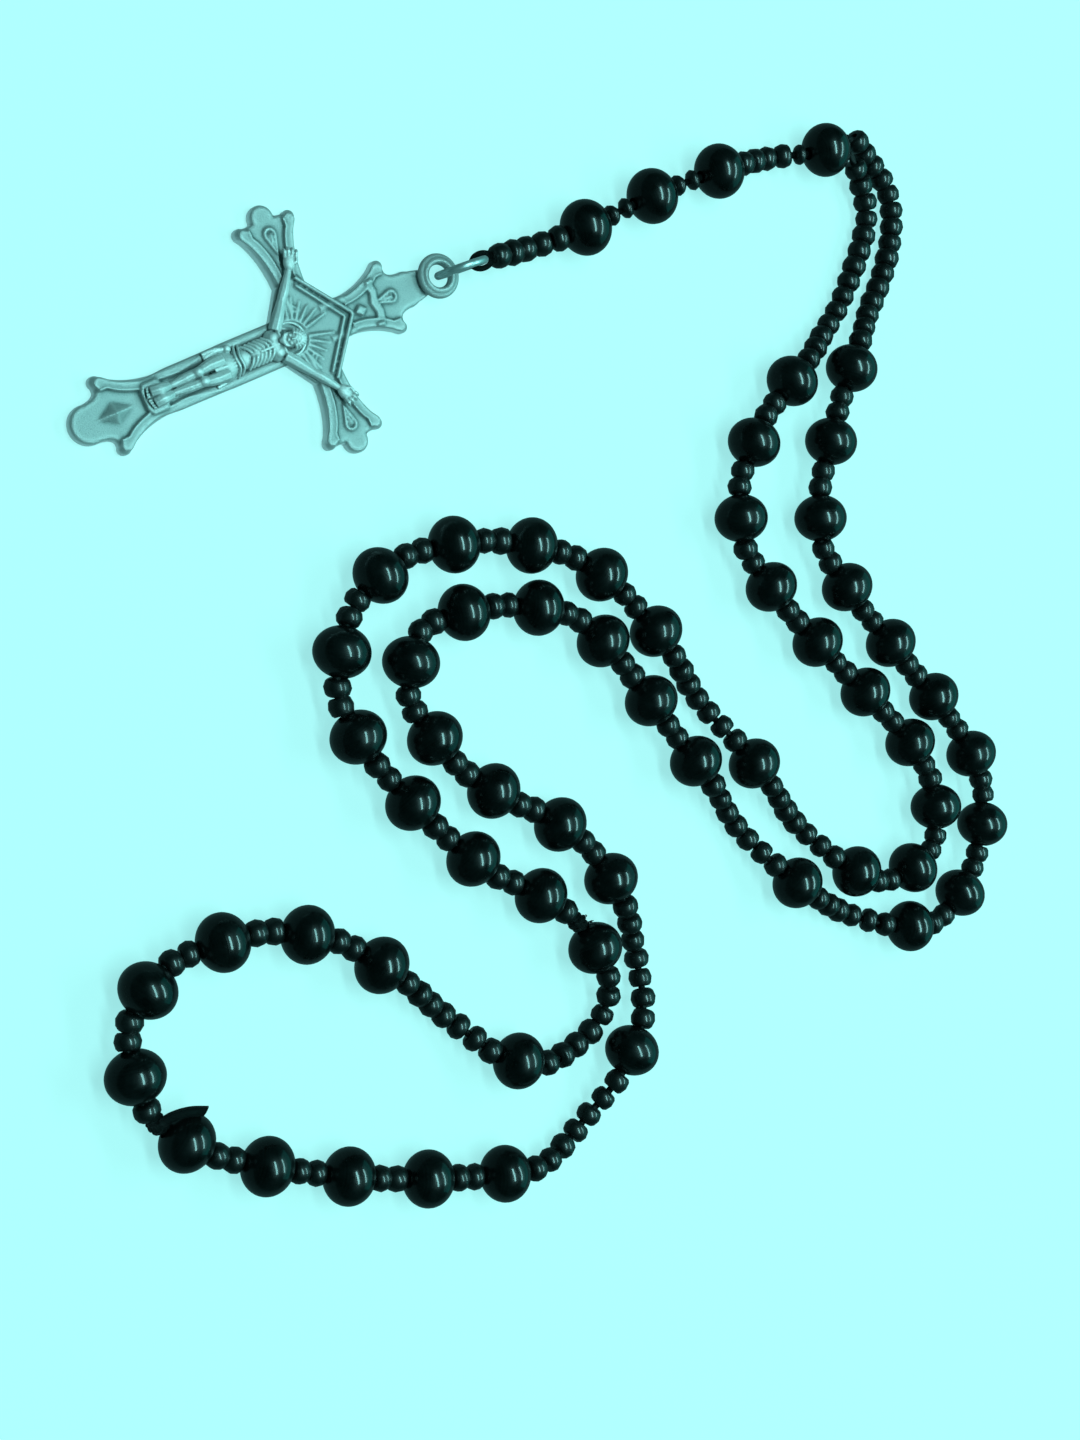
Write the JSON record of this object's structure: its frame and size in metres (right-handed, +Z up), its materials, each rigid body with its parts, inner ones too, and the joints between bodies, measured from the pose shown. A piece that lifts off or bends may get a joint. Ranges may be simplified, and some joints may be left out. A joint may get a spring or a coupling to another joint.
{
  "type": "rosary",
  "caption": "Rosary of black beads on a nylon cord, laid in loose curves, with a short pendant and a cast silver-tone crucifix on a jump ring.",
  "frame": {"origin": "on the table under the middle of the laid-out rosary, without its cord", "axes": "+Z up from the table the rosary lies on, +Y along its longest side, from the end loop to the junction bead, and +X to the right, with the crucifix at -X"},
  "size_m": [0.1522, 0.1584, 0.008],
  "materials": {
    "black_bead": "polished, with faint turning rings",
    "black_nylon": "braided cord with the seed beads threaded on it",
    "cast_silver": "silver-tone casting, satin"
  },
  "bodies": {
    "loop": {"loop_cord_with_seeds": "black_nylon", "junction_bead": "black_bead", "tied_beads_decade_2": "black_bead", "tied_beads_decade_3": "black_bead"},
    "pendant_link_3": {"pendant_link_3": "black_bead"},
    "pendant_link_2": {"pendant_link_2": "black_bead"},
    "pendant_link_1": {"pendant_link_1": "black_bead"},
    "jump_ring": {"jump_ring": "cast_silver"},
    "crucifix": {"crucifix": "cast_silver"},
    "decade_1_bead_1": {"decade_1_bead_1": "black_bead"},
    "decade_1_bead_2": {"decade_1_bead_2": "black_bead"},
    "decade_1_bead_3": {"decade_1_bead_3": "black_bead"},
    "decade_1_bead_4": {"decade_1_bead_4": "black_bead"},
    "decade_1_bead_5": {"decade_1_bead_5": "black_bead"},
    "decade_1_bead_6": {"decade_1_bead_6": "black_bead"},
    "decade_1_bead_7": {"decade_1_bead_7": "black_bead"},
    "decade_1_bead_8": {"decade_1_bead_8": "black_bead"},
    "decade_1_bead_9": {"decade_1_bead_9": "black_bead"},
    "decade_1_bead_10": {"decade_1_bead_10": "black_bead"},
    "our_father_1_bead": {"our_father_1_bead": "black_bead"},
    "decade_2_bead_1": {"decade_2_bead_1": "black_bead"},
    "decade_2_bead_2": {"decade_2_bead_2": "black_bead"},
    "decade_2_bead_3": {"decade_2_bead_3": "black_bead"},
    "decade_2_bead_4": {"decade_2_bead_4": "black_bead"},
    "decade_2_bead_5": {"decade_2_bead_5": "black_bead"},
    "decade_2_bead_6": {"decade_2_bead_6": "black_bead"},
    "decade_2_bead_7": {"decade_2_bead_7": "black_bead"},
    "decade_2_bead_8": {"decade_2_bead_8": "black_bead"},
    "decade_2_bead_9": {"decade_2_bead_9": "black_bead"},
    "our_father_2_bead": {"our_father_2_bead": "black_bead"},
    "decade_3_bead_1": {"decade_3_bead_1": "black_bead"},
    "decade_3_bead_2": {"decade_3_bead_2": "black_bead"},
    "decade_3_bead_3": {"decade_3_bead_3": "black_bead"},
    "decade_3_bead_4": {"decade_3_bead_4": "black_bead"},
    "decade_3_bead_7": {"decade_3_bead_7": "black_bead"},
    "decade_3_bead_8": {"decade_3_bead_8": "black_bead"},
    "decade_3_bead_9": {"decade_3_bead_9": "black_bead"},
    "decade_3_bead_10": {"decade_3_bead_10": "black_bead"},
    "our_father_3_bead": {"our_father_3_bead": "black_bead"},
    "decade_4_bead_1": {"decade_4_bead_1": "black_bead"},
    "decade_4_bead_2": {"decade_4_bead_2": "black_bead"},
    "decade_4_bead_3": {"decade_4_bead_3": "black_bead"},
    "decade_4_bead_4": {"decade_4_bead_4": "black_bead"},
    "decade_4_bead_5": {"decade_4_bead_5": "black_bead"},
    "decade_4_bead_6": {"decade_4_bead_6": "black_bead"},
    "decade_4_bead_7": {"decade_4_bead_7": "black_bead"},
    "decade_4_bead_8": {"decade_4_bead_8": "black_bead"},
    "decade_4_bead_9": {"decade_4_bead_9": "black_bead"},
    "decade_4_bead_10": {"decade_4_bead_10": "black_bead"},
    "our_father_4_bead": {"our_father_4_bead": "black_bead"},
    "decade_5_bead_1": {"decade_5_bead_1": "black_bead"},
    "decade_5_bead_2": {"decade_5_bead_2": "black_bead"},
    "decade_5_bead_3": {"decade_5_bead_3": "black_bead"},
    "decade_5_bead_4": {"decade_5_bead_4": "black_bead"},
    "decade_5_bead_5": {"decade_5_bead_5": "black_bead"},
    "decade_5_bead_6": {"decade_5_bead_6": "black_bead"},
    "decade_5_bead_7": {"decade_5_bead_7": "black_bead"},
    "decade_5_bead_8": {"decade_5_bead_8": "black_bead"},
    "decade_5_bead_9": {"decade_5_bead_9": "black_bead"},
    "decade_5_bead_10": {"decade_5_bead_10": "black_bead"}
  },
  "joints": [
    {"name": "crucifix_swing", "type": "hinge", "parent": "jump_ring", "child": "crucifix", "pos_m": [-0.0248, 0.05, 0.0023], "axis": [0, 0, 1], "range_deg": [-60, 10]},
    {"name": "jump_ring_lift", "type": "hinge", "parent": "pendant_link_1", "child": "jump_ring", "pos_m": [-0.01889, 0.05239, 0.00395], "axis": [-0.3746, 0.9272, 0], "range_deg": [0, 40]},
    {"name": "pendant_bend", "type": "hinge", "parent": "pendant_link_2", "child": "pendant_link_1", "pos_m": [0.00334, 0.06167, 0.00356], "axis": [0, 0, 1], "range_deg": [-25, 3]},
    {"name": "pendant_lift", "type": "hinge", "parent": "pendant_link_3", "child": "pendant_link_2", "pos_m": [0.01471, 0.0672, 0.00355], "axis": [-0.3908, 0.9205, 0], "range_deg": [0, 45]},
    {"name": "pendant_swing", "type": "hinge", "parent": "loop", "child": "pendant_link_3", "pos_m": [0.0367, 0.0741, 0.004], "axis": [0, 0, 1], "range_deg": [-25, 2]},
    {"name": "turn_decade_1_bead_1", "type": "hinge", "parent": "loop", "child": "decade_1_bead_1", "pos_m": [0.03403, 0.03957, 0.004], "axis": [-0.6552, -0.7555, 0], "continuous": true},
    {"name": "turn_decade_1_bead_2", "type": "hinge", "parent": "loop", "child": "decade_1_bead_2", "pos_m": [0.02701, 0.0299, 0.004], "axis": [-0.4489, -0.8936, 0], "continuous": true},
    {"name": "turn_decade_1_bead_3", "type": "hinge", "parent": "loop", "child": "decade_1_bead_3", "pos_m": [0.02469, 0.01845, 0.004], "axis": [0.1057, -0.9944, 0], "continuous": true},
    {"name": "turn_decade_1_bead_4", "type": "hinge", "parent": "loop", "child": "decade_1_bead_4", "pos_m": [0.03025, 0.00829, 0.004], "axis": [0.6794, -0.7337, 0], "continuous": true},
    {"name": "turn_decade_1_bead_5", "type": "hinge", "parent": "loop", "child": "decade_1_bead_5", "pos_m": [0.03896, 0, 0.004], "axis": [0.7608, -0.649, 0], "continuous": true},
    {"name": "turn_decade_1_bead_6", "type": "hinge", "parent": "loop", "child": "decade_1_bead_6", "pos_m": [0.04821, -0.0077, 0.004], "axis": [0.7707, -0.6372, 0], "continuous": true},
    {"name": "turn_decade_1_bead_7", "type": "hinge", "parent": "loop", "child": "decade_1_bead_7", "pos_m": [0.05715, -0.01572, 0.004], "axis": [0.6803, -0.733, 0], "continuous": true},
    {"name": "turn_decade_1_bead_8", "type": "hinge", "parent": "loop", "child": "decade_1_bead_8", "pos_m": [0.06245, -0.02605, 0.004], "axis": [0.1275, -0.9918, 0], "continuous": true},
    {"name": "turn_decade_1_bead_9", "type": "hinge", "parent": "loop", "child": "decade_1_bead_9", "pos_m": [0.05785, -0.0356, 0.004], "axis": [-0.8913, -0.4533, 0], "continuous": true},
    {"name": "turn_decade_1_bead_10", "type": "hinge", "parent": "loop", "child": "decade_1_bead_10", "pos_m": [0.04667, -0.03565, 0.004], "axis": [-0.8939, 0.4483, 0], "continuous": true},
    {"name": "turn_our_father_1_bead", "type": "hinge", "parent": "loop", "child": "our_father_1_bead", "pos_m": [0.02722, -0.01838, 0.004], "axis": [-0.6935, 0.7205, 0], "continuous": true},
    {"name": "turn_decade_2_bead_1", "type": "hinge", "parent": "loop", "child": "decade_2_bead_1", "pos_m": [0.00967, 0.00137, 0.004], "axis": [-0.685, 0.7285, 0], "continuous": true},
    {"name": "turn_decade_2_bead_2", "type": "hinge", "parent": "loop", "child": "decade_2_bead_2", "pos_m": [0.00047, 0.00941, 0.004], "axis": [-0.8514, 0.5245, 0], "continuous": true},
    {"name": "turn_decade_2_bead_3", "type": "hinge", "parent": "loop", "child": "decade_2_bead_3", "pos_m": [-0.01103, 0.01323, 0.004], "axis": [-0.9917, 0.1289, 0], "continuous": true},
    {"name": "turn_decade_2_bead_4", "type": "hinge", "parent": "loop", "child": "decade_2_bead_4", "pos_m": [-0.02324, 0.01298, 0.004], "axis": [-0.9845, -0.1752, 0], "continuous": true},
    {"name": "turn_decade_2_bead_5", "type": "hinge", "parent": "loop", "child": "decade_2_bead_5", "pos_m": [-0.03434, 0.00845, 0.004], "axis": [-0.7624, -0.6471, 0], "continuous": true},
    {"name": "turn_decade_2_bead_6", "type": "hinge", "parent": "loop", "child": "decade_2_bead_6", "pos_m": [-0.04001, -0.00193, 0.004], "axis": [-0.1842, -0.9829, 0], "continuous": true},
    {"name": "turn_decade_2_bead_7", "type": "hinge", "parent": "loop", "child": "decade_2_bead_7", "pos_m": [-0.03766, -0.01338, 0.004], "axis": [0.5683, -0.8228, 0], "continuous": true},
    {"name": "turn_decade_2_bead_8", "type": "hinge", "parent": "loop", "child": "decade_2_bead_8", "pos_m": [-0.02955, -0.02255, 0.004], "axis": [0.7188, -0.6952, 0], "continuous": true},
    {"name": "turn_decade_2_bead_9", "type": "hinge", "parent": "loop", "child": "decade_2_bead_9", "pos_m": [-0.0203, -0.03063, 0.004], "axis": [0.7971, -0.6039, 0], "continuous": true},
    {"name": "turn_our_father_2_bead", "type": "hinge", "parent": "loop", "child": "our_father_2_bead", "pos_m": [-0.01312, -0.05957, 0.004], "axis": [-0.9605, 0.2784, 0], "continuous": true},
    {"name": "turn_decade_3_bead_1", "type": "hinge", "parent": "loop", "child": "decade_3_bead_1", "pos_m": [-0.03426, -0.04449, 0.004], "axis": [-0.8332, 0.5529, 0], "continuous": true},
    {"name": "turn_decade_3_bead_2", "type": "hinge", "parent": "loop", "child": "decade_3_bead_2", "pos_m": [-0.04506, -0.03962, 0.004], "axis": [-0.9803, 0.1976, 0], "continuous": true},
    {"name": "turn_decade_3_bead_3", "type": "hinge", "parent": "loop", "child": "decade_3_bead_3", "pos_m": [-0.05688, -0.03987, 0.004], "axis": [-0.9741, -0.226, 0], "continuous": true},
    {"name": "turn_decade_3_bead_4", "type": "hinge", "parent": "loop", "child": "decade_3_bead_4", "pos_m": [-0.06697, -0.04535, 0.004], "axis": [-0.6236, -0.7818, 0], "continuous": true},
    {"name": "turn_decade_3_bead_7", "type": "hinge", "parent": "loop", "child": "decade_3_bead_7", "pos_m": [-0.05081, -0.06998, 0.004], "axis": [0.9627, -0.2706, 0], "continuous": true},
    {"name": "turn_decade_3_bead_8", "type": "hinge", "parent": "loop", "child": "decade_3_bead_8", "pos_m": [-0.03914, -0.07277, 0.004], "axis": [0.9804, -0.1968, 0], "continuous": true},
    {"name": "turn_decade_3_bead_9", "type": "hinge", "parent": "loop", "child": "decade_3_bead_9", "pos_m": [-0.02727, -0.07458, 0.004], "axis": [0.9941, -0.1084, 0], "continuous": true},
    {"name": "turn_decade_3_bead_10", "type": "hinge", "parent": "loop", "child": "decade_3_bead_10", "pos_m": [-0.0153, -0.07535, 0.004], "axis": [0.9999, -0.0135, 0], "continuous": true},
    {"name": "turn_our_father_3_bead", "type": "hinge", "parent": "loop", "child": "our_father_3_bead", "pos_m": [0.00563, -0.05981, 0.004], "axis": [0.4613, 0.8872, 0], "continuous": true},
    {"name": "turn_decade_4_bead_1", "type": "hinge", "parent": "loop", "child": "decade_4_bead_1", "pos_m": [0.00204, -0.03451, 0.004], "axis": [-0.553, 0.8332, 0], "continuous": true},
    {"name": "turn_decade_4_bead_2", "type": "hinge", "parent": "loop", "child": "decade_4_bead_2", "pos_m": [-0.0064, -0.02634, 0.004], "axis": [-0.8528, 0.5222, 0], "continuous": true},
    {"name": "turn_decade_4_bead_3", "type": "hinge", "parent": "loop", "child": "decade_4_bead_3", "pos_m": [-0.0171, -0.02124, 0.004], "axis": [-0.876, 0.4823, 0], "continuous": true},
    {"name": "turn_decade_4_bead_4", "type": "hinge", "parent": "loop", "child": "decade_4_bead_4", "pos_m": [-0.02622, -0.01374, 0.004], "axis": [-0.6615, 0.7499, 0], "continuous": true},
    {"name": "turn_decade_4_bead_5", "type": "hinge", "parent": "loop", "child": "decade_4_bead_5", "pos_m": [-0.0298, -0.00328, 0.004], "axis": [0.2028, 0.9792, 0], "continuous": true},
    {"name": "turn_decade_4_bead_6", "type": "hinge", "parent": "loop", "child": "decade_4_bead_6", "pos_m": [-0.02172, 0.00364, 0.004], "axis": [0.9738, 0.2273, 0], "continuous": true},
    {"name": "turn_decade_4_bead_7", "type": "hinge", "parent": "loop", "child": "decade_4_bead_7", "pos_m": [-0.00992, 0.00448, 0.004], "axis": [0.9943, -0.1069, 0], "continuous": true},
    {"name": "turn_decade_4_bead_8", "type": "hinge", "parent": "loop", "child": "decade_4_bead_8", "pos_m": [0.00069, -0.00013, 0.004], "axis": [0.7502, -0.6612, 0], "continuous": true},
    {"name": "turn_decade_4_bead_9", "type": "hinge", "parent": "loop", "child": "decade_4_bead_9", "pos_m": [0.00887, -0.00879, 0.004], "axis": [0.647, -0.7625, 0], "continuous": true},
    {"name": "turn_decade_4_bead_10", "type": "hinge", "parent": "loop", "child": "decade_4_bead_10", "pos_m": [0.0167, -0.0178, 0.004], "axis": [0.6688, -0.7435, 0], "continuous": true},
    {"name": "turn_our_father_4_bead", "type": "hinge", "parent": "loop", "child": "our_father_4_bead", "pos_m": [0.0353, -0.03685, 0.004], "axis": [0.8262, -0.5633, 0], "continuous": true},
    {"name": "turn_decade_5_bead_1", "type": "hinge", "parent": "loop", "child": "decade_5_bead_1", "pos_m": [0.05732, -0.04486, 0.004], "axis": [0.9977, -0.068, 0], "continuous": true},
    {"name": "turn_decade_5_bead_2", "type": "hinge", "parent": "loop", "child": "decade_5_bead_2", "pos_m": [0.06754, -0.04011, 0.004], "axis": [0.6312, 0.7756, 0], "continuous": true},
    {"name": "turn_decade_5_bead_3", "type": "hinge", "parent": "loop", "child": "decade_5_bead_3", "pos_m": [0.07212, -0.02918, 0.004], "axis": [0.1277, 0.9918, 0], "continuous": true},
    {"name": "turn_decade_5_bead_4", "type": "hinge", "parent": "loop", "child": "decade_5_bead_4", "pos_m": [0.0697, -0.01774, 0.004], "axis": [-0.5311, 0.8473, 0], "continuous": true},
    {"name": "turn_decade_5_bead_5", "type": "hinge", "parent": "loop", "child": "decade_5_bead_5", "pos_m": [0.0619, -0.00849, 0.004], "axis": [-0.7099, 0.7043, 0], "continuous": true},
    {"name": "turn_decade_5_bead_6", "type": "hinge", "parent": "loop", "child": "decade_5_bead_6", "pos_m": [0.05317, -0.00002, 0.004], "axis": [-0.7158, 0.6983, 0], "continuous": true},
    {"name": "turn_decade_5_bead_7", "type": "hinge", "parent": "loop", "child": "decade_5_bead_7", "pos_m": [0.04458, 0.00855, 0.004], "axis": [-0.6557, 0.755, 0], "continuous": true},
    {"name": "turn_decade_5_bead_8", "type": "hinge", "parent": "loop", "child": "decade_5_bead_8", "pos_m": [0.03943, 0.019, 0.004], "axis": [-0.0416, 0.9991, 0], "continuous": true},
    {"name": "turn_decade_5_bead_9", "type": "hinge", "parent": "loop", "child": "decade_5_bead_9", "pos_m": [0.04138, 0.03086, 0.004], "axis": [0.2823, 0.9593, 0], "continuous": true},
    {"name": "turn_decade_5_bead_10", "type": "hinge", "parent": "loop", "child": "decade_5_bead_10", "pos_m": [0.04529, 0.04236, 0.004], "axis": [0.3652, 0.9309, 0], "continuous": true}
  ]
}
